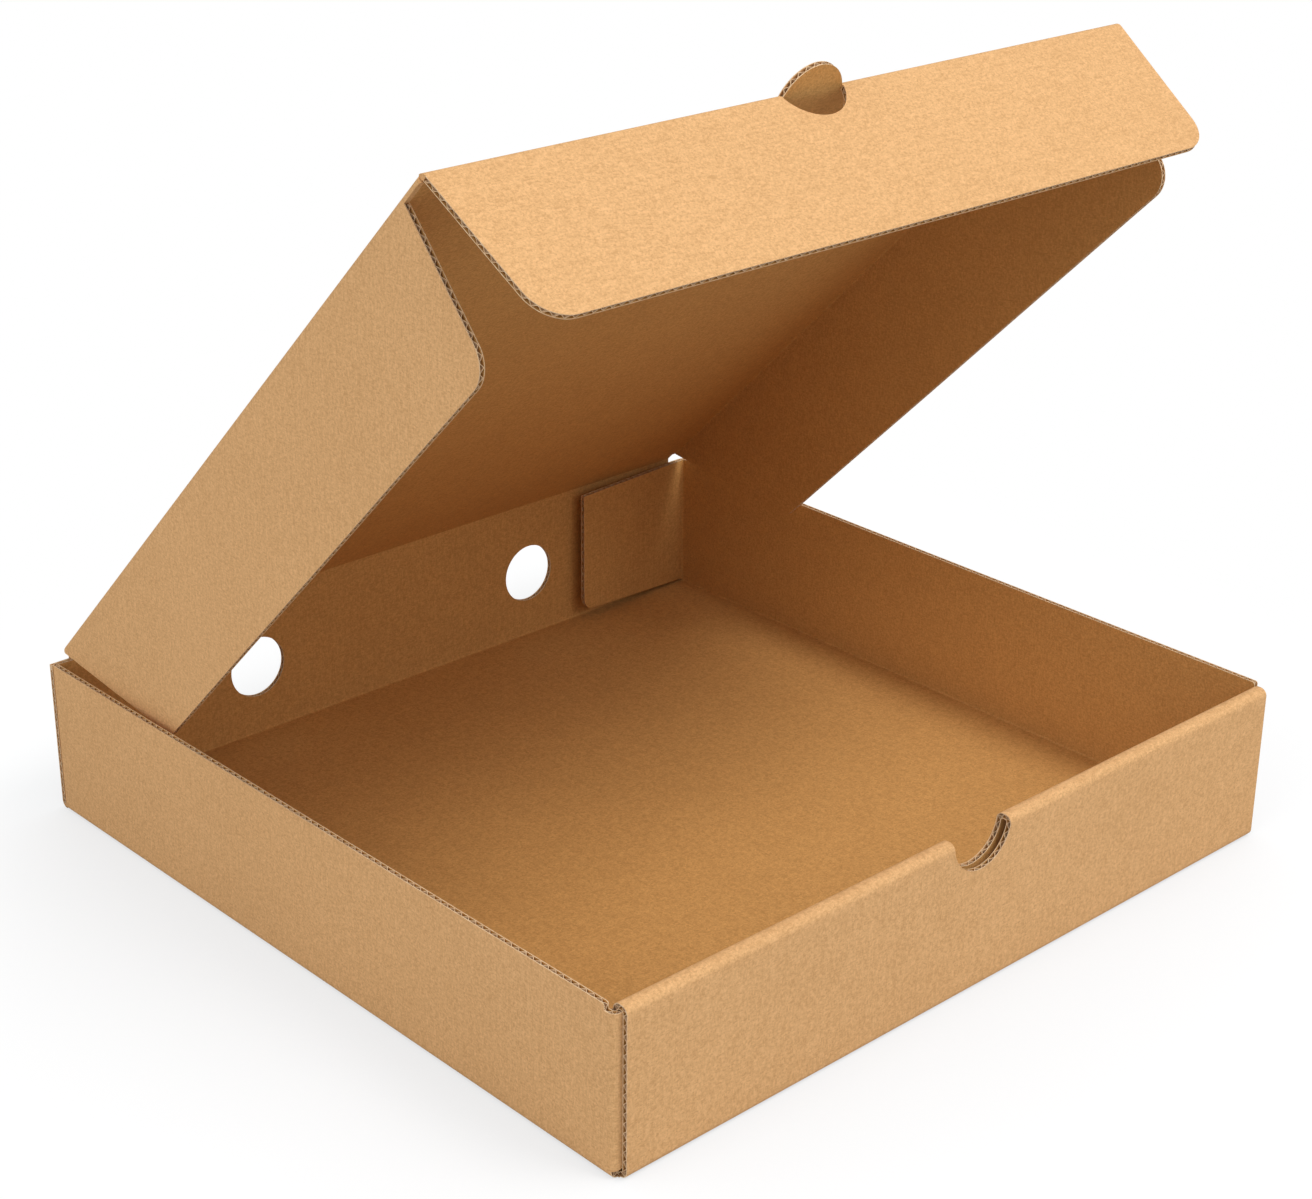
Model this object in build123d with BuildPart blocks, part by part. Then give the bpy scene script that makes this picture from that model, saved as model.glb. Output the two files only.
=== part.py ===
from build123d import *
import os
from math import cos, radians, sin

# Pizza box: an open tray folded from corrugated board and a lid with three flaps, millimetres.
# Origin at the middle of the tray's underside, +Z up, the rolled front wall faces -Y.

# board
board = 1.6
crease = 2.2
ply_gap = 0.1
fit = 0.3

# tray
width = 254.0
depth = 250.0
height = 48.0
base_lap = 20.0
panel_inset = 0.8
tab_step = 1.8
tab_lift = 2.0
front_tab = 50.0
back_tab = 51.0
tab_round = 4.5
tab_lean = 3.4
tab_rise = 3.6
back_tab_top = 0.2
notch_radius = 11.2
vent_radius = 9.9
vent_spacing = 110.6
vent_height = 24.0
lock_width = 30.0
lock_spacing = 120.0
relief_width = 6.4
relief_depth = 1.2

# lid
lid_open = 45.0
lid_width = 246.0
lid_rest = 0.9
bead = 1.2
front_play = 3.1
flap_end = 3.0
front_flap_open = 10.0
front_flap_drop = 46.0
front_flap_taper = 2.4
front_flap_round = 10.0
side_flap_drop = 45.2
side_flap_slant = 3.0
side_flap_round = 8.0
side_flap_bevel = 34.5
thumb_half_width = 10.6
thumb_reach = 8.0

# derived
half_width = width / 2
half_depth = depth / 2
roll_depth = 3 * board + 2 * ply_gap
roll_inside = -half_depth + roll_depth
ply_outside = half_depth - board - ply_gap
panel_half = half_width - panel_inset
hinge_y = half_depth - bead
hinge_z = height + lid_rest + board - bead
hinge_half = half_width - relief_width - panel_inset
lid_depth = hinge_y + half_depth + board + front_play
fold_x = lid_width / 2 - bead
fold_u = lid_depth - bead
front_half = fold_x - flap_end / 2
lid_start = bead + fit
flap_front = hinge_y - roll_inside - fit
inside_face = bead - board
thumb_radius = (thumb_half_width**2 + thumb_reach**2) / (2 * thumb_reach)
thumb_centre = fold_u + thumb_reach - thumb_radius

lean = radians(lid_open)
hinge = (0, hinge_y, hinge_z)
lid_face = Plane(origin=hinge, x_dir=(1, 0, 0), z_dir=(0, sin(lean), cos(lean)))
lid_cross = Plane(origin=hinge, x_dir=(1, 0, 0), z_dir=(0, -cos(lean), sin(lean)))
lid_side = Plane(origin=hinge, x_dir=(0, -cos(lean), sin(lean)), z_dir=(-1, 0, 0))
flare = radians(front_flap_open)
front_fold = (0, hinge_y - fold_u * cos(lean), hinge_z + fold_u * sin(lean))
front_face = Plane(origin=front_fold, x_dir=(1, 0, 0), z_dir=(0, -cos(lean + flare), sin(lean + flare)))

os.makedirs("parts", exist_ok=True)

# front tab: the side wall's front end, bent round a vertical crease into the roll
with BuildPart() as front_corner:
    with BuildSketch(Plane.XY):
        with BuildLine():
            run = FilletPolyline(
                (-half_width, roll_inside + crease),
                (-half_width, -ply_outside),
                (-half_width + front_tab, -ply_outside),
                radius=crease,
            )
            offset(run, amount=board, side=Side.LEFT)
        make_face()
    extrude(amount=height)
    with BuildSketch(Plane.XZ):
        with BuildLine():
            FilletPolyline(
                (-half_width - board, tab_lift),
                (-half_width + front_tab, tab_lift),
                (-half_width + front_tab, height - tab_step),
                (-half_width - board, height - tab_step),
                radius=tab_round,
            )
            Line((-half_width - board, height - tab_step), (-half_width - board, tab_lift))
        make_face()
    extrude(amount=half_depth, both=True, mode=Mode.INTERSECT)

# back tab: the side wall's back end, its free end stands off the back wall
with BuildPart() as back_corner:
    with BuildSketch(Plane.XY):
        with BuildLine():
            run = FilletPolyline(
                (-half_width, ply_outside - 2 * crease),
                (-half_width, ply_outside),
                (-half_width + back_tab, ply_outside - tab_lean),
                radius=crease,
            )
            offset(run, amount=board, side=Side.RIGHT)
        make_face()
    extrude(amount=height)
    with BuildSketch(Plane.XZ):
        with BuildLine():
            FilletPolyline(
                (-half_width - board, tab_lift),
                (-half_width + back_tab, tab_lift + tab_rise),
                (-half_width + back_tab, height - back_tab_top),
                radius=tab_round,
            )
            Polyline(
                (-half_width + back_tab, height - back_tab_top),
                (-half_width - board, height - back_tab_top),
                (-half_width - board, tab_lift),
            )
        make_face()
    extrude(amount=half_depth, both=True, mode=Mode.INTERSECT)

with BuildPart() as tray:
    # base with both side walls, folded up from one sheet
    with BuildSketch(Plane.XZ.offset(-ply_outside + crease)):
        with BuildLine():
            run = FilletPolyline(
                (-half_width, height),
                (-half_width, 0),
                (half_width, 0),
                (half_width, height),
                radius=crease,
            )
            offset(run, amount=board, side=Side.LEFT)
        make_face()
    extrude(amount=ply_outside - crease - roll_inside - ply_gap)
    # front wall rolled over: outer panel, top strip, inner panel
    with BuildSketch(Plane.YZ):
        with BuildLine():
            run = FilletPolyline(
                (roll_inside + base_lap, 0),
                (-half_depth, 0),
                (-half_depth, height),
                (roll_inside, height),
                (roll_inside, height / 2),
                radius=crease,
            )
            offset(run, amount=board, side=Side.RIGHT)
        make_face()
        with Locations((roll_inside, board + fit)):
            Rectangle(board, height / 2, align=(Align.MAX, Align.MIN))
    extrude(amount=panel_half, both=True)
    with BuildSketch(Plane.XY.offset(board)):
        with Locations((-half_width, roll_inside), (half_width, roll_inside)):
            Rectangle(2 * (board + ply_gap), roll_depth - board - ply_gap / 2, align=(Align.CENTER, Align.MAX))
    extrude(amount=height - 2 * board - ply_gap, mode=Mode.SUBTRACT)
    # back wall with the crease that carries the lid
    with BuildSketch(Plane.YZ):
        with BuildLine():
            run = FilletPolyline(
                (ply_outside - base_lap, 0),
                (half_depth, 0),
                (half_depth, hinge_z - relief_depth - bead),
                radius=crease,
            )
            offset(run, amount=board, side=Side.LEFT)
        make_face()
    extrude(amount=panel_half, both=True)
    with BuildSketch(Plane.YZ):
        with Locations((half_depth - board / 2, hinge_z)):
            Rectangle(board, relief_depth + 2 * bead, align=(Align.CENTER, Align.MAX))
        with Locations((hinge_y, hinge_z)):
            Circle(bead)
    extrude(amount=hinge_half, both=True)
    # tabs of the side walls
    add(front_corner.part)
    add(front_corner.part.mirror(Plane.YZ))
    add(back_corner.part)
    add(back_corner.part.mirror(Plane.YZ))
    # slots in the base and the roll's lock tabs in them
    with BuildSketch(Plane.XY):
        with Locations((0, roll_inside - board / 2)):
            with GridLocations(lock_spacing, 1, 2, 1):
                Rectangle(lock_width + 2 * fit, board + 2 * fit)
    extrude(amount=board, mode=Mode.SUBTRACT)
    with BuildSketch(Plane.XY.offset(fit)):
        with Locations((0, roll_inside - board / 2)):
            with GridLocations(lock_spacing, 1, 2, 1):
                Rectangle(lock_width, board)
    extrude(amount=board + fit)
    # finger notch through both layers of the roll
    with BuildSketch(Plane.XZ.offset(half_depth)):
        with Locations((0, height)):
            Circle(notch_radius)
    extrude(amount=-roll_depth - fit, mode=Mode.SUBTRACT)
    # vents
    with BuildSketch(Plane.XZ.offset(-half_depth)):
        with Locations((0, vent_height)):
            with GridLocations(vent_spacing, 1, 2, 1):
                Circle(vent_radius)
    extrude(amount=board + fit, mode=Mode.SUBTRACT)

with BuildPart() as lid:
    # top panel with the half-round thumb tab
    with BuildSketch(lid_face.offset(inside_face)):
        with Locations((0, -(lid_start + fold_u) / 2)):
            Rectangle(2 * hinge_half, fold_u - lid_start)
        with Locations((0, -(flap_end + fold_u) / 2)):
            Rectangle(2 * fold_x, fold_u - flap_end)
        with Locations((0, -thumb_centre)):
            Circle(thumb_radius)
    extrude(amount=board)
    # rounded creases along the two sides and the front
    with BuildSketch(lid_cross.offset(flap_end)):
        with GridLocations(2 * fold_x, 1, 2, 1):
            Circle(bead)
    extrude(amount=lid_depth - 2 * flap_end)
    with BuildSketch(lid_side.offset(thumb_half_width), lid_side.offset(-front_half)):
        with Locations((fold_u, 0)):
            Circle(bead)
    extrude(amount=front_half - thumb_half_width)

with BuildPart() as lid_front_flap:
    with BuildSketch(front_face.offset(bead)):
        with BuildLine():
            top = -lid_start
            low = bead - front_flap_drop
            narrow = front_half - front_flap_taper
            FilletPolyline(
                (-front_half, top),
                (-narrow, low),
                (narrow, low),
                (front_half, top),
                radius=front_flap_round,
            )
            Line((-front_half, top), (front_half, top))
        make_face()
        with Locations((0, thumb_radius - thumb_reach)):
            Circle(thumb_radius + fit, mode=Mode.SUBTRACT)
    extrude(amount=-board)

with BuildPart() as lid_left_flap:
    with BuildSketch(lid_side.offset(lid_width / 2)):
        with BuildLine():
            top = -lid_start
            low = bead - side_flap_drop
            FilletPolyline(
                (flap_front, top),
                (flap_front - side_flap_slant, low),
                (flap_end + side_flap_bevel, low),
                radius=side_flap_round,
            )
            Polyline(
                (flap_end + side_flap_bevel, low),
                (flap_end, top),
                (flap_front, top),
            )
        make_face()
    extrude(amount=-board)

with BuildPart() as lid_right_flap:
    add(lid_left_flap.part.mirror(Plane.YZ))

tray.part.label = "tray"
lid.part.label = "lid"
lid_front_flap.part.label = "lid_front_flap"
lid_left_flap.part.label = "lid_left_flap"
lid_right_flap.part.label = "lid_right_flap"

export_step(tray.part, "parts/tray.step")
export_step(lid.part, "parts/lid.step")
export_step(lid_front_flap.part, "parts/lid_front_flap.step")
export_step(lid_left_flap.part, "parts/lid_left_flap.step")
export_step(lid_right_flap.part, "parts/lid_right_flap.step")
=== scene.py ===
import bpy
import bmesh
import math
from mathutils import Matrix, Vector, noise


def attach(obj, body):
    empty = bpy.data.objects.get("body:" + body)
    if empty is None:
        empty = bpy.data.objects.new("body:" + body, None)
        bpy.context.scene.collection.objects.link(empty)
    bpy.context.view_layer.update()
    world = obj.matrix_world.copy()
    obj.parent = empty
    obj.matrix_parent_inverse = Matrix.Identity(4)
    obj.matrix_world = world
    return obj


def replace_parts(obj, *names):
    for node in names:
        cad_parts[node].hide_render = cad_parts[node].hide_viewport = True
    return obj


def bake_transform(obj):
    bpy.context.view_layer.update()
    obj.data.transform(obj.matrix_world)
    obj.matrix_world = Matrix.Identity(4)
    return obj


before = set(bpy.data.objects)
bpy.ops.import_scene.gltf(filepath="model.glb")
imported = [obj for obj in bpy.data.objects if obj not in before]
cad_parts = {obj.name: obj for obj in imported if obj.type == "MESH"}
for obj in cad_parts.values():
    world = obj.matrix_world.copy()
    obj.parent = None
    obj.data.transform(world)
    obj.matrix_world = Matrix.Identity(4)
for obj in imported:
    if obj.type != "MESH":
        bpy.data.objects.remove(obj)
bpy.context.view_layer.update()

# Sizes of the box are in millimetres until finish_piece turns each piece into metres.
MM = 0.001

# Board: two liners with fluted paper between them, which shows along cut edges
BOARD = 1.6
LINER = 0.24
FLUTE_PITCH = 2.7
FLUTE_PAPER = 0.20
FLUTE_SHOW = 0.08
FLUTE_SINK = 0.04
CORE_INSET = 1.7
CORE_LAP = 0.1

# Tray, with the sizes of the solids in the frame
WIDTH = 254.0
DEPTH = 250.0
HEIGHT = 48.0
CREASE = 2.2
PLY_GAP = 0.1
FIT = 0.3
BASE_LAP = 20.0
PANEL_INSET = 0.8
FRONT_TAB = 50.0
FRONT_TAB_STEP = 1.8
BACK_TAB = 51.0
BACK_TAB_STEP = 0.2
TAB_ROUND = 4.5
TAB_LEAN = 3.4
TAB_RISE = 3.6
TAB_LIFT = 2.0
NOTCH_RADIUS = 11.2
VENT_RADIUS = 9.9
VENT_X = 55.3
VENT_Z = 24.0
LOCK_WIDTH = 30.0
LOCK_X = 60.0
RELIEF_WIDTH = 6.4
RELIEF_DEPTH = 1.2

# Lid, with the sizes of the solids but for its creases, which are bent board here and round beads there
LID_OPEN = math.radians(45)
LID_HALF = 123.0
LID_REST = 0.9
LID_CREASE = 2.0
LID_START = 2.4
CREASE_FOOT = 47.4
BEAD = 1.2
FRONT_PLAY = 3.1
FLAP_START = 3.0
FLAP_FOLD = math.radians(80)
SIDE_DROP = 44.0
SIDE_SLANT = 3.0
SIDE_ROUND = 8.0
SIDE_BEVEL = 34.5
FRONT_DROP = 44.8
FRONT_ROUND = 10.0
THUMB_HALF = 10.6
THUMB_REACH = 8.0

# Where the scene leaves the solids' sizes, to close a seam, ease a corner or follow the photograph
FRONT_PANEL_INSET = 2.7
BASE_FOLD_REACH = 1.2
SIDE_CREASE_END = 251.6
FRONT_HALF = 122.0
FRONT_TAPER = 4.1
THUMB_BEND = math.radians(24)
BACK_TAB_ROUND = 0.6
STEP_ROUND = 0.8
SIDE_BACK_ROUND = 2.0
LOCK_TIP = 0.6
LOCK_BEVEL = 1.5

# Slight bow of the panels: how far each one leaves its plane, and its own seed
BOW_SPAN = 70
BOW_REACH = 18.0
WALL_BOW = 0.35
WALL_SEED = 3.1
WALL_BOW_END = HEIGHT + 12
ROLL_BOW = 0.5
ROLL_SEED = 8.3
LID_BOW = 0.8
LID_SEED = 5.7
FLAP_BOW = 0.5
FLAP_BOW_PAST = 15
SIDE_FLAP_SEED = 2.2
FRONT_FLAP_SEED = 9.4

# Fineness and tolerances of the meshes
GRID = 12.0
ARC_STEPS = 8
FLUTE_SAMPLES = 8
ROUND_STEP = 0.9
NOTCH_STEPS = 36
BRIDGE_STEPS = 8
THUMB_STEPS = 40
VENT_STEPS = 64
SHARP_ANGLE = math.radians(20)
MITRE_LIMIT = 4
STRAIGHT = 0.05
SAME_POINT = 1e-4
SAME_S = 1e-6
CUT_MARGIN = 0.01
NEAR = 0.1
STUB = 10.0

# Places of the materials on each piece
OUTER_FACE = 0
CUT_EDGE = 1
CORE = 2
INNER_FACE = 3

# Colours of the board
KRAFT_DARK = (0.60, 0.334, 0.139)
KRAFT_LIGHT = (0.80, 0.474, 0.219)
# The inner faces take a darker, redder copy of the kraft: painted shade of the inside of the box
INSIDE_SHADED_DARK = (0.50, 0.258, 0.079)
INSIDE_SHADED_LIGHT = (0.68, 0.366, 0.121)
# Cut edges and flutes: the paper's own paler tone, lightened further as painted highlight
EDGE_DARK = (0.66, 0.44, 0.25)
EDGE_LIGHT = (0.82, 0.61, 0.39)
# The core is painted near black as the shade of the hollows between the flutes, not as the paper's own
# colour
CORE_SHADE_DARK = (0.018, 0.007, 0.003)
CORE_SHADE_LIGHT = (0.036, 0.015, 0.006)

# Surface of the board: noise scales per metre, and how much each noise shifts the colour
CLOUD_SCALE = 24
CLOUD_GAIN = 0.35
PATCH_SCALE = 260
PATCH_GAIN = 0.55
GRAIN_SCALE = 1300
GRAIN_GAIN = 2.4
GRAIN_ROUGH = 0.75
FIBRE_SCALE = 520
FIBRE_GAIN = 1.5
FIBRE_ROUGH = 0.7
FIBRE_STRETCH = 5.0
FLECK_SCALE = 950
FLECK_STRETCH = 2.2
FLECK_FROM = 0.64
FLECK_FULL = 0.70
FLECK_DEPTH = 0.7
FLUTE_GAIN = 0.08
FLUTE_BUMP = 0.25
FLUTE_WANDER = 0.6
SHIFT_LIMIT = 0.48
BUMP_STRENGTH = 0.35
BUMP_HEIGHT = 0.00012
KRAFT_ROUGHNESS = 0.82
KRAFT_SPECULAR = 0.22
EDGE_SCALE = 700
CORE_SCALE = 500
PAPER_ROUGHNESS = 0.9
PAPER_SPECULAR = 0.15
PAPER_RAMP = (0.3, 0.7)
# The width of one band of Blender's wave texture at scale 1
WAVE_BAND = 2 * math.pi / 20

# Floor, world, lamps and camera, in metres and radians
FLOOR_SPAN = 6.0
FLOOR_SEEN = (0.19, 0.18, 0.175)
FLOOR_BOUNCE = (0.55, 0.55, 0.55)
# The floor's glow for the camera, dimmed by ambient occlusion near the box as painted shadow
FLOOR_LIFT = (0.855, 0.87, 0.88)
SHADOW_LEVEL = 0.70
SHADOW_REACH = 0.35
WHITE = (1, 1, 1)
WHITE_FROM = 0.02
WHITE_TO = 0.15
WORLD_FILL = 0.49
LAMP_TARGET = Vector((0, 0, 0.05))
CAMERA_PLACE = Vector((-0.4642, -0.4991, 0.3767))
CAMERA_AZIMUTH = math.radians(42.91)
CAMERA_DROP = math.radians(24.10)
CAMERA_ROLL = math.radians(0.47)
CAMERA_CLIP = 0.01
FOCAL_PX = 2603
PICTURE_PX = 1312
SENSOR_MM = 36

# Worked out from the sizes above
HALF_X = WIDTH / 2
HALF_Y = DEPTH / 2
PLY_Y = HALF_Y - BOARD - PLY_GAP
ROLL_Y = -HALF_Y + 3 * BOARD + 2 * PLY_GAP
PANEL_HALF = HALF_X - PANEL_INSET
FRONT_PANEL_HALF = HALF_X - FRONT_PANEL_INSET
HINGE_Y = HALF_Y - BEAD
HINGE_Z = HEIGHT + LID_REST + BOARD - BEAD
HINGE = Vector((0, HINGE_Y, HINGE_Z))
RELIEF_HALF = HALF_X - RELIEF_WIDTH - PANEL_INSET
RELIEF_TOP = HINGE_Z - RELIEF_DEPTH - BEAD
FOLD_U = HINGE_Y + HALF_Y + BOARD + FRONT_PLAY - BEAD
FLAP_FRONT = HINGE_Y - ROLL_Y - FIT
THUMB_RADIUS = (THUMB_HALF**2 + THUMB_REACH**2) / (2 * THUMB_REACH)
ALONG = Vector((0, -math.cos(LID_OPEN), math.sin(LID_OPEN)))
OUT = Vector((0, math.sin(LID_OPEN), math.cos(LID_OPEN)))
FLAP_ALONG = ALONG * math.cos(FLAP_FOLD) - OUT * math.sin(FLAP_FOLD)
FLAP_OUT = ALONG * math.sin(FLAP_FOLD) + OUT * math.cos(FLAP_FOLD)
CORNER_SHIFT = BEAD * math.tan(FLAP_FOLD / 2)
CORNER_TANGENT = LID_CREASE * math.tan(FLAP_FOLD / 2)
LID_END = FOLD_U + CORNER_SHIFT - CORNER_TANGENT
FLAP_TOP = CORNER_TANGENT - CORNER_SHIFT
SIDE_TOP = BEAD - LID_CREASE
SIDE_EDGE = LID_HALF - LID_CREASE


class Run:
    """A folded section: straight legs between corners that are arcs of one outer radius.

    s is the length walked along the outer face. side is 1 where the board lies left of the walk, else -1.
    A part is its kind, its s at both ends, its first point, its direction there and an arc's turn."""

    def __init__(self, corners, radius, side):
        self.radius = radius
        self.side = side
        self.parts = []
        self.starts = []
        s = 0.0
        pts = [Vector(p) for p in corners]
        for i in range(len(pts) - 1):
            a, b = pts[i], pts[i + 1]
            way = (b - a).normalized()
            cut_a = self.tangent(pts, i)
            cut_b = self.tangent(pts, i + 1)
            length = (b - a).length - cut_a - cut_b
            self.starts.append((s, cut_a))
            self.parts.append(("line", s, s + length, a + way * cut_a, way))
            s += length
            if i + 2 < len(pts):
                onward = (pts[i + 2] - b).normalized()
                turn = math.atan2(way.x * onward.y - way.y * onward.x, way.dot(onward))
                self.parts.append(("arc", s, s + radius * abs(turn), b - way * cut_b, way, turn))
                s += radius * abs(turn)
        self.length = s

    def tangent(self, pts, i):
        if i == 0 or i == len(pts) - 1:
            return 0.0
        a = (pts[i] - pts[i - 1]).normalized()
        b = (pts[i + 1] - pts[i]).normalized()
        return self.radius * math.tan(a.angle(b) / 2)

    def on(self, leg, distance):
        """s at a distance from the corner that leg starts at."""
        start, cut = self.starts[leg]
        return start + distance - cut

    def arc(self, i):
        """s at both ends of an arc."""
        arcs = [p for p in self.parts if p[0] == "arc"]
        return arcs[i][1], arcs[i][2]

    def cuts(self):
        """Each s at which the board is cut across, so that it can follow the arcs."""
        found = []
        for p in self.parts:
            if p[0] == "arc":
                found += [p[1] + (p[2] - p[1]) * k / ARC_STEPS for k in range(ARC_STEPS + 1)]
        return found

    def at(self, s, depth):
        """The point at s and at a depth into the board from its outer face."""
        part = self.parts[0]
        for p in self.parts:
            if s >= p[1] - SAME_S:
                part = p
        way = part[4]
        inward = Vector((-way.y, way.x)) * self.side
        if part[0] == "line":
            return part[3] + way * (s - part[1]) + inward * depth
        centre = part[3] + inward * self.radius
        angle = part[5] * (s - part[1]) / (part[2] - part[1])
        spoke = -inward * (self.radius - depth)
        return centre + turned(spoke, angle)


def turned(v, angle):
    c, s = math.cos(angle), math.sin(angle)
    return Vector((v.x * c - v.y * s, v.x * s + v.y * c))


def rounded(points, radii):
    """A closed loop with its corners rounded, each by its own radius."""
    out = []
    count = len(points)
    for i in range(count):
        p = Vector(points[i])
        a = (Vector(points[i - 1]) - p).normalized()
        b = (Vector(points[(i + 1) % count]) - p).normalized()
        r = radii[i]
        if r == 0:
            out.append(p)
            continue
        half = a.angle(b) / 2
        reach = r / math.tan(half)
        centre = p + (a + b).normalized() * (r / math.sin(half))
        start = p + a * reach - centre
        sweep = math.pi - 2 * half
        if start.x * b.y - start.y * b.x < 0:
            sweep = -sweep
        steps = max(3, round(abs(sweep) * r / ROUND_STEP))
        out += [centre + turned(start, sweep * k / steps) for k in range(steps + 1)]
    return out


def arc_points(cx, cy, radius, a0, a1, steps):
    angles = [a0 + (a1 - a0) * k / steps for k in range(steps + 1)]
    return [Vector((cx + radius * math.cos(a), cy + radius * math.sin(a))) for a in angles]


def between(a, b):
    """The points inside the straight line from a to b."""
    return [a.lerp(b, k / BRIDGE_STEPS) for k in range(1, BRIDGE_STEPS)]


def spread(a, b, step):
    """Even places inside the stretch from a to b, at most a step apart."""
    count = max(1, math.ceil((b - a) / step))
    return [a + (b - a) * k / count for k in range(1, count)]


def area_of(loop):
    return sum(loop[i - 1].x * loop[i].y - loop[i - 1].y * loop[i].x for i in range(len(loop))) / 2


def oriented(loops):
    """The outline runs anticlockwise and the holes clockwise, so the board is always on the left."""
    out = []
    for i, loop in enumerate(loops):
        loop = [Vector(p) for p in loop]
        loop = [p for k, p in enumerate(loop) if (p - loop[k - 1]).length > SAME_POINT]
        if (area_of(loop) > 0) != (i == 0):
            loop.reverse()
        out.append(loop)
    return out


def inset(loop, is_cut, distance):
    """The loop moved into the board along its cut edges, and left in place elsewhere."""
    out = []
    count = len(loop)
    limit = MITRE_LIMIT * distance
    for i in range(count):
        before, p, after = loop[i - 1], loop[i], loop[(i + 1) % count]
        a, b = (p - before).normalized(), (after - p).normalized()
        da = distance if is_cut((before + p) / 2) else 0.0
        db = distance if is_cut((p + after) / 2) else 0.0
        na, nb = Vector((-a.y, a.x)), Vector((-b.y, b.x))
        cross = a.x * b.y - a.y * b.x
        if abs(cross) < STRAIGHT:
            out.append(p + (na * da + nb * db) / 2)
            continue
        pa, pb = p + na * da, p + nb * db
        k = ((pb - pa).x * b.y - (pb - pa).y * b.x) / cross
        out.append(pa + a * max(-limit, min(limit, k)))
    return out


def add_plate(target, loops, d0, d1, cuts, point, outer_slot, inner_slot, side_slot):
    """A closed layer of the board between two depths, cut into a grid so that it can bend."""
    bm = bmesh.new()
    edges = []
    for loop in loops:
        verts = [bm.verts.new((p.x, p.y, d0)) for p in loop]
        edges += [bm.edges.new((verts[i - 1], verts[i])) for i in range(len(verts))]
    bmesh.ops.triangle_fill(bm, use_beauty=True, use_dissolve=False, edges=edges)
    for axis, places in enumerate(cuts):
        for place in places:
            co, no = [0, 0, 0], [0, 0, 0]
            co[axis], no[axis] = place, 1
            geom = bm.verts[:] + bm.edges[:] + bm.faces[:]
            bmesh.ops.bisect_plane(bm, geom=geom, dist=SAME_POINT, plane_co=co, plane_no=no)
    new = bmesh.ops.extrude_face_region(bm, geom=bm.faces[:])["geom"]
    for v in new:
        if isinstance(v, bmesh.types.BMVert):
            v.co.z = d1
    bmesh.ops.recalc_face_normals(bm, faces=bm.faces[:])
    for f in bm.faces:
        if abs(f.normal.z) < 0.5:
            f.material_index = side_slot
        else:
            f.material_index = inner_slot if f.normal.z > 0 else outer_slot
    for v in bm.verts:
        v.co = point(v.co.x, v.co.y, v.co.z)
    copy_into(target, bm)


def copy_into(target, bm):
    """Adds a closed shell to the piece, its faces turned outward."""
    bmesh.ops.recalc_face_normals(bm, faces=bm.faces[:])
    if bm.calc_volume(signed=True) < 0:
        bmesh.ops.reverse_faces(bm, faces=bm.faces[:])
    mesh = bpy.data.meshes.new("layer")
    bm.to_mesh(mesh)
    target.from_mesh(mesh)
    bm.free()
    bpy.data.meshes.remove(mesh)


def add_flutes(target, loop, is_cut, point):
    """The fluted paper that shows between the liners along a cut edge."""
    step = FLUTE_PITCH / FLUTE_SAMPLES
    samples = []
    count = len(loop)
    walked = 0.0
    for i in range(count):
        a, b = loop[i], loop[(i + 1) % count]
        length = (b - a).length
        way = (b - a) / length
        inward = Vector((-way.y, way.x))
        steps = max(1, round(length / step))
        for k in range(steps):
            samples.append((a + (b - a) * (k / steps), inward, walked + length * k / steps))
        walked += length
    samples.append((loop[0], samples[0][1], walked))
    chain = []
    for sample in samples + [None]:
        if sample is not None and is_cut(sample[0]):
            chain.append(sample)
            continue
        if len(chain) > FLUTE_SAMPLES:
            add_strip(target, chain, point)
        chain = []


def add_strip(target, chain, point):
    """One unbroken strip of fluted paper, a wave of the flutes' pitch."""
    middle = BOARD / 2
    half = FLUTE_PAPER / 2
    swing = middle - LINER - half + FLUTE_SINK
    near, far = FLUTE_SHOW, CORE_INSET + CORE_LAP
    corners = [(near, -half), (near, half), (far, half), (far, -half)]
    rows = []
    bm = bmesh.new()
    for p, inward, s in chain:
        wave = middle + swing * math.sin(2 * math.pi * s / FLUTE_PITCH)
        row = []
        for deep, offset in corners:
            q = p + inward * deep
            row.append(bm.verts.new(point(q.x, q.y, wave + offset)))
        rows.append(row)
    for a, b in zip(rows, rows[1:]):
        for k in range(4):
            bm.faces.new((a[k], a[(k + 1) % 4], b[(k + 1) % 4], b[k]))
    bm.faces.new(rows[0][::-1])
    bm.faces.new(rows[-1])
    for f in bm.faces:
        f.material_index = CUT_EDGE
    copy_into(target, bm)


def finish_piece(name, bm, material):
    mesh = bpy.data.meshes.new(name)
    for v in bm.verts:
        v.co *= MM
    bm.to_mesh(mesh)
    bm.free()
    for used in (material, edge_paper_and_highlight, core_painted_shade, liner_inside_painted_shade):
        mesh.materials.append(used)
    mesh.polygons.foreach_set("use_smooth", [True] * len(mesh.polygons))
    mesh.set_sharp_from_angle(angle=SHARP_ANGLE)
    obj = bpy.data.objects.new(name, mesh)
    bpy.context.scene.collection.objects.link(obj)
    return obj


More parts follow.
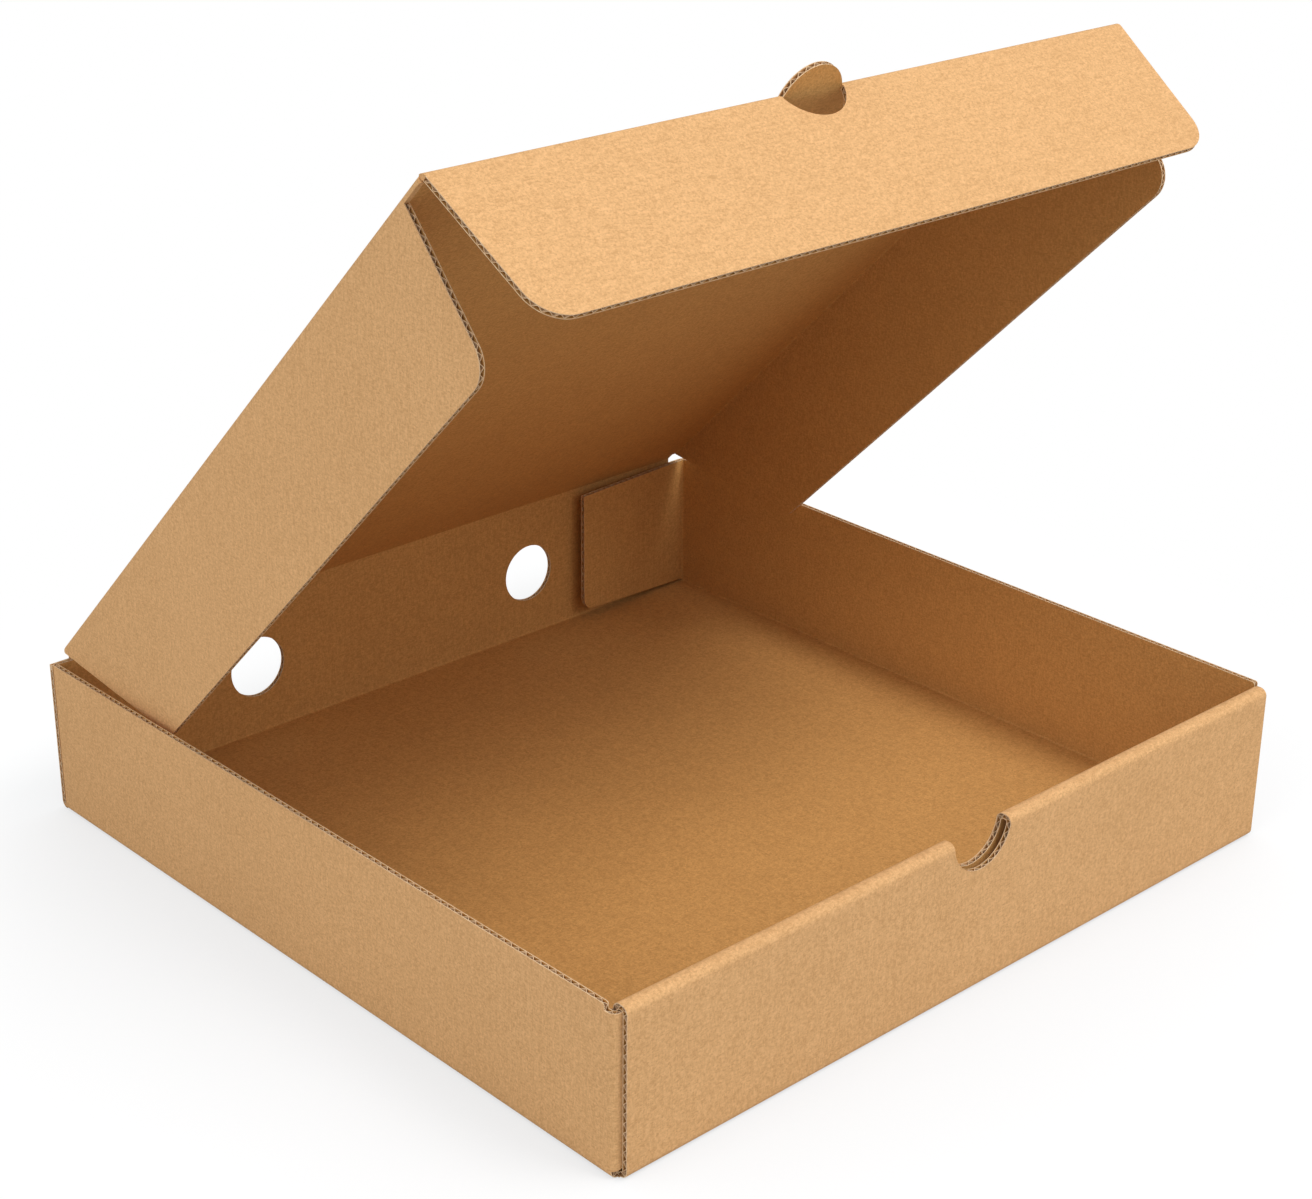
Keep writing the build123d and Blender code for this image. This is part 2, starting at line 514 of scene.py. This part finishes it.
def board(name, body, material, point, loops, is_cut, run=None, bends=()):
    """A panel of board: both liners, the core set in from cut edges and painted near black as the shade
    of the flutes' hollows, and the flutes there.
    """
    loops = oriented(loops)
    xs = [p.x for p in loops[0]]
    ys = [p.y for p in loops[0]]
    bends = list(bends) + (run.cuts() if run else [])
    cuts = [spread(min(xs), max(xs), GRID), spread(min(ys), max(ys), GRID)]
    cuts[0] += [c for c in bends if min(xs) + CUT_MARGIN < c < max(xs) - CUT_MARGIN]
    bm = bmesh.new()
    add_plate(bm, loops, 0, LINER, cuts, point, OUTER_FACE, OUTER_FACE, CUT_EDGE)
    add_plate(bm, loops, BOARD - LINER, BOARD, cuts, point, INNER_FACE, INNER_FACE, CUT_EDGE)
    cores = [inset(loop, is_cut, CORE_INSET) for loop in loops]
    # The core plate, near black, is painted shade of the flutes' hollows
    add_plate(bm, cores, LINER, BOARD - LINER, cuts, point, CORE, CORE, CORE)
    for loop in loops:
        add_flutes(bm, loop, is_cut, point)
    obj = finish_piece(name, bm, material)
    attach(obj, body)
    return obj


def crease(name, run, place, spans, s0, s1):
    """A fold that turns between two bodies, solid board bent to one radius."""
    bm = bmesh.new()

    def point(s, t, depth):
        q = run.at(s, depth)
        return place(q.x, q.y, t)

    bends = [c for c in run.cuts() if s0 + CUT_MARGIN < c < s1 - CUT_MARGIN]
    for t0, t1 in spans:
        loop = oriented([[(s0, t0), (s1, t0), (s1, t1), (s0, t1)]])
        cuts = [bends, spread(t0, t1, GRID)]
        add_plate(bm, loop, 0, BOARD, cuts, point, OUTER_FACE, INNER_FACE, OUTER_FACE)
    obj = finish_piece(name, bm, kraft_lid)
    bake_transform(obj)
    return obj


def warp(s, t, seed, amount):
    return amount * noise.noise(Vector((s / BOW_SPAN, t / BOW_SPAN, seed)))


def fade(value, edge_a, edge_b):
    """1 well inside the stretch, falling smoothly to 0 at both edges."""
    k = max(0.0, min(1.0, (value - edge_a) / BOW_REACH, (edge_b - value) / BOW_REACH))
    return k * k * (3 - 2 * k)


# Materials
def new_material(name, roughness, specular):
    material = bpy.data.materials.new(name)
    material.use_nodes = True
    tree = material.node_tree
    shader = tree.nodes["Principled BSDF"]
    shader.inputs["Roughness"].default_value = roughness
    shader.inputs["Specular IOR Level"].default_value = specular
    return material, tree, shader


def kraft_material(name, dark, light, flute_axis):
    """Brown kraft liner: cloudy mottling, short fibres, small flecks and faint flutes showing through."""
    material, tree, shader = new_material(name, KRAFT_ROUGHNESS, KRAFT_SPECULAR)
    link = tree.links.new
    coord = tree.nodes.new("ShaderNodeTexCoord").outputs["Object"]

    def noise_at(scale, detail=3, stretch=(1, 1, 1), rough=0.6):
        mapping = tree.nodes.new("ShaderNodeMapping")
        mapping.inputs["Scale"].default_value = stretch
        link(coord, mapping.inputs["Vector"])
        node = tree.nodes.new("ShaderNodeTexNoise")
        node.inputs["Scale"].default_value = scale
        node.inputs["Detail"].default_value = detail
        node.inputs["Roughness"].default_value = rough
        link(mapping.outputs["Vector"], node.inputs["Vector"])
        return node.outputs["Fac"]

    def shift(value, gain):
        """A texture's value from 0 to 1, centred on 0 and scaled."""
        node = tree.nodes.new("ShaderNodeMath")
        node.operation = "MULTIPLY_ADD"
        link(value, node.inputs[0])
        node.inputs[1].default_value = gain
        node.inputs[2].default_value = -gain / 2
        return node.outputs[0]

    def plus(a, b):
        node = tree.nodes.new("ShaderNodeMath")
        node.operation = "ADD"
        link(a, node.inputs[0])
        link(b, node.inputs[1])
        return node.outputs[0]

    upright = (1, 1, FIBRE_STRETCH)
    level = (FIBRE_STRETCH, FIBRE_STRETCH, 1)
    clouds = shift(noise_at(CLOUD_SCALE), CLOUD_GAIN)
    patches = shift(noise_at(PATCH_SCALE), PATCH_GAIN)
    grain = shift(noise_at(GRAIN_SCALE, rough=GRAIN_ROUGH), GRAIN_GAIN)
    fibres_a = shift(noise_at(FIBRE_SCALE, stretch=upright, rough=FIBRE_ROUGH), FIBRE_GAIN)
    fibres_b = shift(noise_at(FIBRE_SCALE, stretch=level, rough=FIBRE_ROUGH), FIBRE_GAIN)

    wave = tree.nodes.new("ShaderNodeTexWave")
    wave.wave_type = "BANDS"
    wave.bands_direction = flute_axis
    wave.inputs["Scale"].default_value = WAVE_BAND / (FLUTE_PITCH * MM)
    wave.inputs["Distortion"].default_value = FLUTE_WANDER
    wave.inputs["Detail"].default_value = 1.0
    link(coord, wave.inputs["Vector"])
    flutes = shift(wave.outputs["Fac"], FLUTE_GAIN)

    fleck = tree.nodes.new("ShaderNodeMapRange")
    fleck.inputs["From Min"].default_value = FLECK_FROM
    fleck.inputs["From Max"].default_value = FLECK_FULL
    fleck.inputs["To Max"].default_value = -FLECK_DEPTH
    link(noise_at(FLECK_SCALE, detail=1, stretch=(1, 1, FLECK_STRETCH)), fleck.inputs["Value"])

    total = plus(plus(plus(clouds, patches), plus(grain, fibres_a)), plus(fibres_b, flutes))
    total = plus(total, fleck.outputs["Result"])
    ramp = tree.nodes.new("ShaderNodeMapRange")
    ramp.inputs["From Min"].default_value = -SHIFT_LIMIT
    ramp.inputs["From Max"].default_value = SHIFT_LIMIT
    link(total, ramp.inputs["Value"])
    mix = tree.nodes.new("ShaderNodeMix")
    mix.data_type = "RGBA"
    mix.inputs["A"].default_value = (*dark, 1)
    mix.inputs["B"].default_value = (*light, 1)
    link(ramp.outputs["Result"], mix.inputs["Factor"])
    link(mix.outputs["Result"], shader.inputs["Base Color"])

    bump = tree.nodes.new("ShaderNodeBump")
    bump.inputs["Strength"].default_value = BUMP_STRENGTH
    bump.inputs["Distance"].default_value = BUMP_HEIGHT
    link(plus(plus(grain, patches), shift(wave.outputs["Fac"], FLUTE_BUMP)), bump.inputs["Height"])
    link(bump.outputs["Normal"], shader.inputs["Normal"])
    return material


def plain_paper(name, dark, light, scale):
    """Raw paper of a cut edge, paler than the liner and lightened further as painted highlight, or the
    core, painted near black as shade, with faint mottling.
    """
    material, tree, shader = new_material(name, PAPER_ROUGHNESS, PAPER_SPECULAR)
    coord = tree.nodes.new("ShaderNodeTexCoord")
    mottle = tree.nodes.new("ShaderNodeTexNoise")
    mottle.inputs["Scale"].default_value = scale
    mottle.inputs["Detail"].default_value = 3
    tree.links.new(coord.outputs["Object"], mottle.inputs["Vector"])
    ramp = tree.nodes.new("ShaderNodeValToRGB")
    for stop, place, colour in zip(ramp.color_ramp.elements, PAPER_RAMP, (dark, light)):
        stop.position = place
        stop.color = (*colour, 1)
    tree.links.new(mottle.outputs["Fac"], ramp.inputs["Fac"])
    tree.links.new(ramp.outputs["Color"], shader.inputs["Base Color"])
    return material


kraft_tray = kraft_material("kraft_tray", KRAFT_DARK, KRAFT_LIGHT, "X")
kraft_sides = kraft_material("kraft_sides", KRAFT_DARK, KRAFT_LIGHT, "Y")
kraft_lid = kraft_material("kraft_lid", KRAFT_DARK, KRAFT_LIGHT, "Y")
# Inner faces: the same kraft made darker and redder, as painted shade of the box's inside
liner_inside_painted_shade = kraft_material("liner_inside_painted_shade", INSIDE_SHADED_DARK, INSIDE_SHADED_LIGHT, "X")
# Cut edges and flutes: paler paper, partly painted highlight
edge_paper_and_highlight = plain_paper("edge_paper_and_highlight", EDGE_DARK, EDGE_LIGHT, EDGE_SCALE)
# Core: painted near black as the shade inside the flutes
core_painted_shade = plain_paper("core_painted_shade", CORE_SHADE_DARK, CORE_SHADE_LIGHT, CORE_SCALE)
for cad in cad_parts.values():
    cad.data.materials.clear()
    cad.data.materials.append(kraft_tray)


# Tray
def side_wall(name, mirror):
    """A side wall with its front tab inside the roll and its back tab inside the back wall."""
    run = Run(
        [
            (-HALF_X + FRONT_TAB, -PLY_Y),
            (-HALF_X, -PLY_Y),
            (-HALF_X, PLY_Y),
            (-HALF_X + BACK_TAB, PLY_Y - TAB_LEAN),
        ],
        CREASE,
        -1,
    )
    front_free = 0.0
    front_fold = run.arc(0)[1]
    back_fold = run.arc(1)[0]
    back_free = run.length
    step = run.on(1, ROLL_Y + PLY_GAP + PLY_Y)
    loop = rounded(
        [
            (front_free, TAB_LIFT),
            (front_fold, TAB_LIFT),
            (front_fold, CREASE),
            (back_fold, CREASE),
            (back_fold, TAB_LIFT),
            (back_free, TAB_LIFT + TAB_RISE),
            (back_free, HEIGHT - BACK_TAB_STEP),
            (back_fold, HEIGHT - BACK_TAB_STEP),
            (back_fold, HEIGHT),
            (step, HEIGHT),
            (step, HEIGHT - FRONT_TAB_STEP),
            (front_free, HEIGHT - FRONT_TAB_STEP),
        ],
        [TAB_ROUND, 0, 0, 0, 0, TAB_ROUND, BACK_TAB_ROUND, 0, 0, STEP_ROUND, 0, TAB_ROUND],
    )

    def point(s, z, depth):
        bow = warp(s, z, WALL_SEED + mirror, WALL_BOW)
        bow *= fade(s, front_fold, back_fold) * fade(z, CREASE, WALL_BOW_END)
        q = run.at(s, depth + bow)
        return Vector((q.x * mirror, q.y, z))

    def is_cut(p):
        return p.y > CREASE + NEAR or p.x < front_fold - NEAR or p.x > back_fold + NEAR

    return board(name, "tray", kraft_sides, point, [loop], is_cut, run)


def base():
    """The base with the folds up to both side walls and the slots for the roll's lock tabs."""
    run = Run([(-HALF_X, STUB), (-HALF_X, 0), (HALF_X, 0), (HALF_X, STUB)], CREASE, 1)
    s0, a1 = run.arc(0)
    b0, s1 = run.arc(1)
    wall = PLY_Y - CREASE + BASE_FOLD_REACH
    end = HALF_Y - CREASE
    middle = run.on(1, HALF_X)
    loops = [[
        (s0, -wall), (a1, -wall), (a1, -end), (b0, -end), (b0, -wall), (s1, -wall),
        (s1, wall), (b0, wall), (b0, end), (a1, end), (a1, wall), (s0, wall),
    ]]
    half = LOCK_WIDTH / 2 + FIT
    front = ROLL_Y - BOARD - FIT
    back = ROLL_Y + FIT
    for s in (middle - LOCK_X, middle + LOCK_X):
        loops.append([(s - half, front), (s + half, front), (s + half, back), (s - half, back)])

    def point(s, y, depth):
        q = run.at(s, depth)
        return Vector((q.x, y, q.y))

    def is_cut(p):
        at_corner = abs(p.y) > wall - NEAR and (p.x < a1 + NEAR or p.x > b0 - NEAR)
        at_slot = abs(p.y - ROLL_Y) < 2 * BOARD and abs(abs(p.x - middle) - LOCK_X) < LOCK_WIDTH
        return at_corner or at_slot

    return board("tray_base", "tray", kraft_tray, point, loops, is_cut, run)


def front_roll():
    """The front wall rolled over: outer panel, top strip, inner panel with lock tabs, and the notch."""
    corners = [(-HALF_Y + BASE_LAP, 0), (-HALF_Y, 0), (-HALF_Y, HEIGHT), (ROLL_Y, HEIGHT), (ROLL_Y, FIT)]
    run = Run(corners, CREASE, -1)
    s0, outer_start = run.arc(0)
    top_in, inner_start = run.arc(2)
    inner_end = run.on(3, HEIGHT - BOARD - FIT)
    tip = run.on(3, HEIGHT - FIT)
    wide = FRONT_PANEL_HALF
    narrow = HALF_X - BOARD - 2 * PLY_GAP
    loop = [(s0, wide), (s0, -wide), (inner_start, -wide), (inner_start, -narrow), (inner_end, -narrow)]
    for x in (-LOCK_X, LOCK_X):
        left, right = x - LOCK_WIDTH / 2, x + LOCK_WIDTH / 2
        loop += [(inner_end, left), (tip - LOCK_TIP, left), (tip, left + LOCK_BEVEL)]
        loop += [(tip, right - LOCK_BEVEL), (tip - LOCK_TIP, right), (inner_end, right)]
    loop += [(inner_end, narrow), (inner_start, narrow), (inner_start, wide)]

    flat = math.asin(CREASE / NOTCH_RADIUS)
    arc = arc_points(0, 0, NOTCH_RADIUS, flat, math.pi - flat, NOTCH_STEPS)
    outer = [Vector((run.on(1, HEIGHT - p.y), -p.x)) for p in arc]
    inner = [Vector((run.on(3, p.y), p.x)) for p in arc]
    notch = outer + between(outer[-1], inner[0]) + inner + between(inner[-1], outer[0])

    def point(s, x, depth):
        bow = -warp(s, x, ROLL_SEED, ROLL_BOW) * fade(s, outer_start, top_in) * fade(x, -wide, wide)
        q = run.at(s, depth + min(0.0, bow))
        return Vector((x, q.x, q.y))

    def is_cut(p):
        return p.x > s0 + NEAR

    return board("front_wall", "tray", kraft_tray, point, [loop, notch], is_cut, run)


def back_wall():
    """The back wall up to the hinge crease, with its two vents."""
    run = Run([(HALF_Y - BASE_LAP, 0), (HALF_Y, 0), (HALF_Y, HEIGHT + STUB)], CREASE, 1)
    s0 = run.arc(0)[0]
    ear = run.on(1, RELIEF_TOP)
    top = run.on(1, CREASE_FOOT)
    loop = [
        (s0, -PANEL_HALF), (ear, -PANEL_HALF), (ear, -RELIEF_HALF), (top, -RELIEF_HALF),
        (top, RELIEF_HALF), (ear, RELIEF_HALF), (ear, PANEL_HALF), (s0, PANEL_HALF),
    ]
    z = run.on(1, VENT_Z)
    vents = [arc_points(z, x, VENT_RADIUS, 0, 2 * math.pi, VENT_STEPS)[:-1] for x in (-VENT_X, VENT_X)]

    def point(s, x, depth):
        q = run.at(s, depth)
        return Vector((x, q.x, q.y))

    def is_cut(p):
        at_hinge = p.x > top - NEAR and abs(p.y) < RELIEF_HALF - NEAR
        return p.x > s0 + NEAR and not at_hinge

    return board("back_wall", "tray", kraft_tray, point, [loop, *vents], is_cut, run)


# Lid
def lid_point(x, u, w):
    """A point of the open lid: x across it, u along it from the hinge and w out of its plane."""
    return HINGE + Vector((x, 0, 0)) + ALONG * u + OUT * w


def flap_point(x, v, w):
    """The same for the front flap, v down from its fold."""
    return HINGE + Vector((x, 0, 0)) + ALONG * FOLD_U + FLAP_ALONG * v + FLAP_OUT * w


def lid_panel():
    """The lid's top with the thumb tab, which is bent about the line of the front fold."""
    half = math.asin(THUMB_HALF / THUMB_RADIUS)
    centre = FOLD_U + THUMB_REACH - THUMB_RADIUS
    loop = [
        (LID_START, -RELIEF_HALF), (FLAP_START, -RELIEF_HALF), (FLAP_START, -SIDE_EDGE),
        (LID_END, -SIDE_EDGE), (LID_END, -THUMB_HALF),
        *arc_points(centre, 0, THUMB_RADIUS, -half, half, THUMB_STEPS),
        (LID_END, THUMB_HALF), (LID_END, SIDE_EDGE),
        (FLAP_START, SIDE_EDGE), (FLAP_START, RELIEF_HALF), (LID_START, RELIEF_HALF),
    ]

    def point(u, x, depth):
        bow = warp(u, x, LID_SEED, LID_BOW) * fade(u, LID_START, LID_END) * fade(x, -SIDE_EDGE, SIDE_EDGE)
        past = u - FOLD_U
        if past > 0:
            u = FOLD_U + past * math.cos(THUMB_BEND) + depth * math.sin(THUMB_BEND)
            depth = depth * math.cos(THUMB_BEND) - past * math.sin(THUMB_BEND)
        return lid_point(x, u, BEAD - depth + bow)

    def is_cut(p):
        at_relief = p.x < FLAP_START + NEAR and abs(p.y) > RELIEF_HALF - NEAR
        return at_relief or p.x > LID_END + NEAR

    return board("lid_panel", "lid", kraft_lid, point, [loop], is_cut, bends=[FOLD_U])


def side_flap(name, body, mirror):
    loop = rounded(
        [
            (FLAP_START, SIDE_TOP),
            (FLAP_START + SIDE_BEVEL, -SIDE_DROP),
            (FLAP_FRONT - SIDE_SLANT, -SIDE_DROP),
            (FLAP_FRONT, SIDE_TOP),
        ],
        [0, SIDE_BACK_ROUND, SIDE_ROUND, 0],
    )

    def point(u, w, depth):
        bow = warp(u, w, SIDE_FLAP_SEED + mirror, FLAP_BOW)
        bow *= fade(-w, -SIDE_TOP, SIDE_DROP + FLAP_BOW_PAST)
        return lid_point((-LID_HALF + depth + bow) * mirror, u, w)

    def is_cut(p):
        return p.y < SIDE_TOP - NEAR

    return board(name, body, kraft_lid, point, [loop], is_cut)


def front_flap():
    """The front flap, with the half-round hole that the thumb tab leaves."""
    narrow = FRONT_HALF - FRONT_TAPER
    outline = rounded(
        [(FLAP_TOP, -FRONT_HALF), (FRONT_DROP, -narrow), (FRONT_DROP, narrow), (FLAP_TOP, FRONT_HALF)],
        [0, FRONT_ROUND, FRONT_ROUND, 0],
    )
    radius = THUMB_RADIUS + FIT
    centre = THUMB_REACH - THUMB_RADIUS
    half = math.acos((FLAP_TOP - centre) / radius)
    loop = outline + arc_points(centre, 0, radius, half, -half, THUMB_STEPS)

    def point(v, x, depth):
        bow = warp(v, x, FRONT_FLAP_SEED, FLAP_BOW) * fade(v, FLAP_TOP, FRONT_DROP + FLAP_BOW_PAST)
        return flap_point(x, v, BEAD - depth + bow)

    def is_cut(p):
        return p.x > FLAP_TOP + NEAR

    return board("front_flap", "front_flap", kraft_lid, point, [loop], is_cut)


# Creases of the lid
def hinge_crease():
    """Bends from the back wall's outer face to the lid's outer face."""
    lid_face = HINGE + OUT * BEAD
    corner = lid_face + ALONG * ((HALF_Y - lid_face.y) / ALONG.y)
    lid_foot = lid_face + ALONG * LID_START
    run = Run([(HALF_Y, CREASE_FOOT), (corner.y, corner.z), (lid_foot.y, lid_foot.z)], LID_CREASE, 1)
    a, b = run.arc(0)
    start, end = run.at(a, BOARD / 2), run.at(b, BOARD / 2)
    return crease(
        "hinge_crease", run, lambda y, z, x: Vector((x, y, z)),
        [(-RELIEF_HALF, RELIEF_HALF)], 0.0, run.length,
    )


def side_crease(name, mirror):
    run = Run([(-LID_HALF + STUB, BEAD), (-LID_HALF, BEAD), (-LID_HALF, BEAD - STUB)], LID_CREASE, 1)
    a, b = run.arc(0)
    start, end = run.at(a, BOARD / 2), run.at(b, BOARD / 2)
    return crease(
        name, run, lambda x, w, u: lid_point(x * mirror, u, w),
        [(FLAP_START, SIDE_CREASE_END)], a, b,
    )


def front_crease():
    """The front fold, open in the middle for the thumb tab."""
    corner = Vector((FOLD_U + CORNER_SHIFT, BEAD))
    down = Vector((math.cos(FLAP_FOLD), -math.sin(FLAP_FOLD)))
    run = Run([corner - Vector((STUB, 0)), corner, corner + down * STUB], LID_CREASE, -1)
    a, b = run.arc(0)
    start, end = run.at(a, BOARD / 2), run.at(b, BOARD / 2)
    return crease(
        "front_crease", run, lambda u, w, x: lid_point(x, u, w),
        [(-FRONT_HALF, -THUMB_HALF), (THUMB_HALF, FRONT_HALF)], a, b,
    )


side_wall("left_wall", 1)
side_wall("right_wall", -1)
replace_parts(base(), "tray")
front_roll()
back_wall()
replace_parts(lid_panel(), "lid")
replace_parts(side_flap("left_flap_board", "left_flap", 1), "lid_left_flap")
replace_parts(side_flap("right_flap_board", "right_flap", -1), "lid_right_flap")
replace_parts(front_flap(), "lid_front_flap")
hinge_crease()
side_crease("left_crease", 1)
side_crease("right_crease", -1)
front_crease()


# Floor, world, lamps and camera
def floor_material():
    """Pale floor: the camera sees the box's soft shadow on it, partly the lamps' own and partly painted
    from an ambient occlusion node, and plain white farther out.
    """
    material = bpy.data.materials.new("floor_white")
    material.use_nodes = True
    tree = material.node_tree
    tree.nodes.clear()
    link = tree.links.new

    def diffuse(shade):
        node = tree.nodes.new("ShaderNodeBsdfDiffuse")
        node.inputs["Color"].default_value = (*shade, 1)
        return node.outputs[0]

    def glow(shade, strength=None):
        node = tree.nodes.new("ShaderNodeEmission")
        node.inputs["Color"].default_value = (*shade, 1)
        if strength:
            link(strength, node.inputs["Strength"])
        return node.outputs[0]

    def mixed(factor, a, b):
        node = tree.nodes.new("ShaderNodeMixShader")
        link(factor, node.inputs[0])
        link(a, node.inputs[1])
        link(b, node.inputs[2])
        return node.outputs[0]

    def vector_step(operation, a, fixed=None):
        node = tree.nodes.new("ShaderNodeVectorMath")
        node.operation = operation
        link(a, node.inputs[0])
        if fixed:
            node.inputs[1].default_value = fixed
        return node

    # How white the camera sees the floor, by the distance from the tray's outline
    place = tree.nodes.new("ShaderNodeTexCoord").outputs["Object"]
    folded = vector_step("ABSOLUTE", place).outputs[0]
    beyond = vector_step("SUBTRACT", folded, (HALF_X * MM, HALF_Y * MM, 0)).outputs[0]
    beyond = vector_step("MAXIMUM", beyond, (0, 0, 0)).outputs[0]
    away = vector_step("LENGTH", beyond).outputs["Value"]
    reach = tree.nodes.new("ShaderNodeMapRange")
    reach.interpolation_type = "SMOOTHSTEP"
    reach.inputs["From Min"].default_value = WHITE_FROM
    reach.inputs["From Max"].default_value = WHITE_TO
    link(away, reach.inputs["Value"])

    # Near the tray the floor's glow is dimmed where the box shuts out the sky: a painted shadow from an
    # ambient occlusion node
    painted_shadow_ao = tree.nodes.new("ShaderNodeAmbientOcclusion")
    painted_shadow_ao.inputs["Distance"].default_value = SHADOW_REACH
    level = tree.nodes.new("ShaderNodeMapRange")
    level.inputs["To Min"].default_value = SHADOW_LEVEL
    link(painted_shadow_ao.outputs["AO"], level.inputs["Value"])
    near = tree.nodes.new("ShaderNodeAddShader")
    link(diffuse(FLOOR_SEEN), near.inputs[0])
    link(glow(FLOOR_LIFT, level.outputs["Result"]), near.inputs[1])

    seen = mixed(reach.outputs["Result"], near.outputs[0], glow(WHITE))
    path = tree.nodes.new("ShaderNodeLightPath").outputs["Is Camera Ray"]
    out = tree.nodes.new("ShaderNodeOutputMaterial")
    link(mixed(path, diffuse(FLOOR_BOUNCE), seen), out.inputs["Surface"])
    return material


def add_floor():
    mesh = bpy.data.meshes.new("floor")
    corners = [(-1, -1), (1, -1), (1, 1), (-1, 1)]
    mesh.from_pydata([(x * FLOOR_SPAN, y * FLOOR_SPAN, 0) for x, y in corners], [], [(0, 1, 2, 3)])
    mesh.materials.append(floor_material())
    floor = bpy.data.objects.new("floor", mesh)
    bpy.context.scene.collection.objects.link(floor)


def area_lamp(name, place, size, watts):
    """A square lamp aimed at the box."""
    data = bpy.data.lights.new(name, "AREA")
    data.size = size
    data.energy = watts
    lamp = bpy.data.objects.new(name, data)
    lamp.location = place
    lamp.rotation_euler = (LAMP_TARGET - Vector(place)).to_track_quat("-Z", "Y").to_euler()
    bpy.context.scene.collection.objects.link(lamp)


def studio_world():
    """Even fill light, which the camera sees as plain white."""
    world = bpy.data.worlds.new("studio")
    bpy.context.scene.world = world
    world.use_nodes = True
    tree = world.node_tree
    background = tree.nodes["Background"]
    background.inputs["Color"].default_value = (*WHITE, 1)
    path = tree.nodes.new("ShaderNodeLightPath")
    seen = tree.nodes.new("ShaderNodeMath")
    seen.operation = "MAXIMUM"
    tree.links.new(path.outputs["Is Camera Ray"], seen.inputs[0])
    tree.links.new(path.outputs["Is Transmission Ray"], seen.inputs[1])
    strength = tree.nodes.new("ShaderNodeMapRange")
    strength.inputs["To Min"].default_value = WORLD_FILL
    strength.inputs["To Max"].default_value = 1.0
    tree.links.new(seen.outputs[0], strength.inputs["Value"])
    tree.links.new(strength.outputs["Result"], background.inputs["Strength"])


def add_camera():
    """The photograph's view: azimuth from +Y, drop below the horizon, and a slight roll."""
    level_way = Vector((math.sin(CAMERA_AZIMUTH), math.cos(CAMERA_AZIMUTH), 0))
    forward = level_way * math.cos(CAMERA_DROP) - Vector((0, 0, math.sin(CAMERA_DROP)))
    level = Vector((math.cos(CAMERA_AZIMUTH), -math.sin(CAMERA_AZIMUTH), 0))
    down = forward.cross(level)
    right = level * math.cos(CAMERA_ROLL) - down * math.sin(CAMERA_ROLL)
    below = level * math.sin(CAMERA_ROLL) + down * math.cos(CAMERA_ROLL)
    matrix = Matrix((right, -below, -forward)).transposed().to_4x4()
    matrix.translation = CAMERA_PLACE
    data = bpy.data.cameras.new("camera")
    data.sensor_width = SENSOR_MM
    data.lens = FOCAL_PX / PICTURE_PX * SENSOR_MM
    data.clip_start = CAMERA_CLIP
    camera = bpy.data.objects.new("camera", data)
    camera.matrix_world = matrix
    bpy.context.scene.collection.objects.link(camera)
    bpy.context.scene.camera = camera


add_floor()
area_lamp("key", place=(0.5, -0.95, 1.9), size=0.9, watts=22)
area_lamp("front", place=(0.6, -1.4, 1.1), size=0.9, watts=5.5)
area_lamp("left", place=(-1.7, -0.2, 0.8), size=1.2, watts=10.5)
studio_world()
add_camera()
bpy.context.scene.view_settings.view_transform = "Standard"
